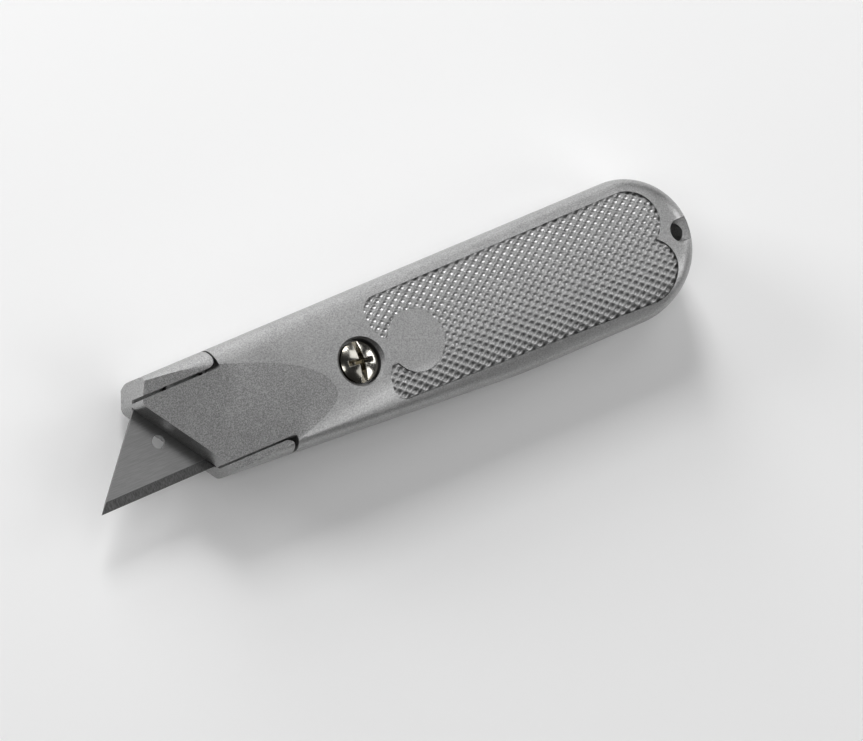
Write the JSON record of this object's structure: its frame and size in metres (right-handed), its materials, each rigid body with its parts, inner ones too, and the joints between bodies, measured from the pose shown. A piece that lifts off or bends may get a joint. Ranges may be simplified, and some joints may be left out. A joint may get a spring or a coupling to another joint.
{
  "type": "utility knife",
  "caption": "Fixed-blade utility knife: two cast metal handle shells clamped by one screw round a two-ended blade, with spare blades stored inside the handle and a lanyard hole at the tail.",
  "frame": {"origin": "middle of the knife's bounding box in X and Y, at the lowest face, which is the rear shell's crown", "axes": "+X from the nose and blade to the tail, +Y from the cutting side to the spine, +Z out of the screw face, along the screw"},
  "size_m": [0.1516, 0.0298, 0.0176],
  "materials": {
    "cast_handle": "bead-blasted zinc die casting, satin, clear of paint",
    "blade_steel": "ground strip steel with a bevelled edge on both sides",
    "plated_screw": "bright nickel plate"
  },
  "bodies": {
    "rear_shell": {"rear_shell": "cast_handle"},
    "front_shell": {"front_shell": "cast_handle"},
    "clamp_screw": {"clamp_screw": "plated_screw"},
    "fitted_blade": {"fitted_blade": "blade_steel"},
    "spare_blade_1": {"spare_blade_1": "blade_steel"},
    "spare_blade_2": {"spare_blade_2": "blade_steel"},
    "spare_blade_3": {"spare_blade_3": "blade_steel"},
    "spare_blade_4": {"spare_blade_4": "blade_steel"},
    "spare_blade_5": {"spare_blade_5": "blade_steel"}
  },
  "joints": [
    {"name": "cover_lift", "type": "slide", "parent": "rear_shell", "child": "front_shell", "axis": [0, 0, 1], "range_m": [0, 0.03]},
    {"name": "screw_turn", "type": "hinge", "parent": "front_shell", "child": "clamp_screw", "pos_m": [-0.0103, 0.00035, 0.0086], "axis": [0, 0, 1], "continuous": true},
    {"name": "blade_lift", "type": "slide", "parent": "rear_shell", "child": "fitted_blade", "axis": [0, 0, 1], "range_m": [0, 0.015]},
    {"name": "spare_lift_1", "type": "slide", "parent": "rear_shell", "child": "spare_blade_1", "axis": [0, 0, 1], "range_m": [0, 0.0051]},
    {"name": "spare_lift_2", "type": "slide", "parent": "rear_shell", "child": "spare_blade_2", "axis": [0, 0, 1], "range_m": [0, 0.0072]},
    {"name": "spare_lift_3", "type": "slide", "parent": "rear_shell", "child": "spare_blade_3", "axis": [0, 0, 1], "range_m": [0, 0.0093]},
    {"name": "spare_lift_4", "type": "slide", "parent": "rear_shell", "child": "spare_blade_4", "axis": [0, 0, 1], "range_m": [0, 0.0114]},
    {"name": "spare_lift_5", "type": "slide", "parent": "rear_shell", "child": "spare_blade_5", "axis": [0, 0, 1], "range_m": [0, 0.0135]}
  ],
  "couplings": [
    {"joint": "blade_lift", "follows": "cover_lift", "ratio": 0.5},
    {"joint": "spare_lift_1", "follows": "cover_lift", "ratio": 0.17},
    {"joint": "spare_lift_2", "follows": "cover_lift", "ratio": 0.24},
    {"joint": "spare_lift_3", "follows": "cover_lift", "ratio": 0.31},
    {"joint": "spare_lift_4", "follows": "cover_lift", "ratio": 0.38},
    {"joint": "spare_lift_5", "follows": "cover_lift", "ratio": 0.45}
  ]
}
